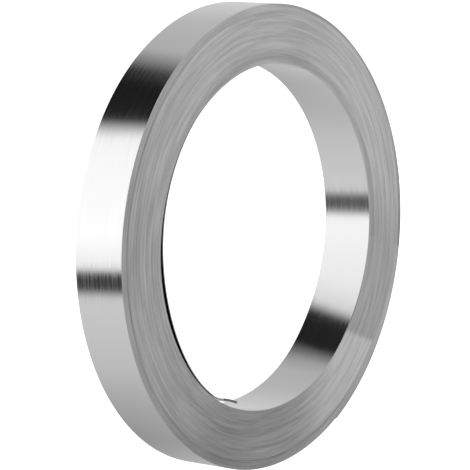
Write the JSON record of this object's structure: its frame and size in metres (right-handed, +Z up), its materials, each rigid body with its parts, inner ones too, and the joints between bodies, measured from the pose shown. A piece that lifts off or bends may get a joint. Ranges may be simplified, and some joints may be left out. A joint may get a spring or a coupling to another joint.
{
  "type": "coil of nickel-plated steel strip",
  "caption": "Thin, narrow bright metal strip wound tight into a flat ring with an open bore; raw stock that is slipped over a reel hub, drawn off and cut to length.",
  "frame": {"origin": "centre of the bore on the plane that the coil lies on", "axes": "+Z is up along the coil's axis; +X and +Y lie in the plane of the ring, and the inner end of the strip is 251 degrees anticlockwise from +X as seen from above"},
  "size_m": [0.067, 0.0669, 0.0081],
  "materials": {
    "nickel_plate": "bright nickel plate over cold-rolled steel, with fine rolling lines along the strip and plain slit edges"
  },
  "bodies": {
    "root": {"strip_coil": "nickel_plate"}
  },
  "joints": []
}
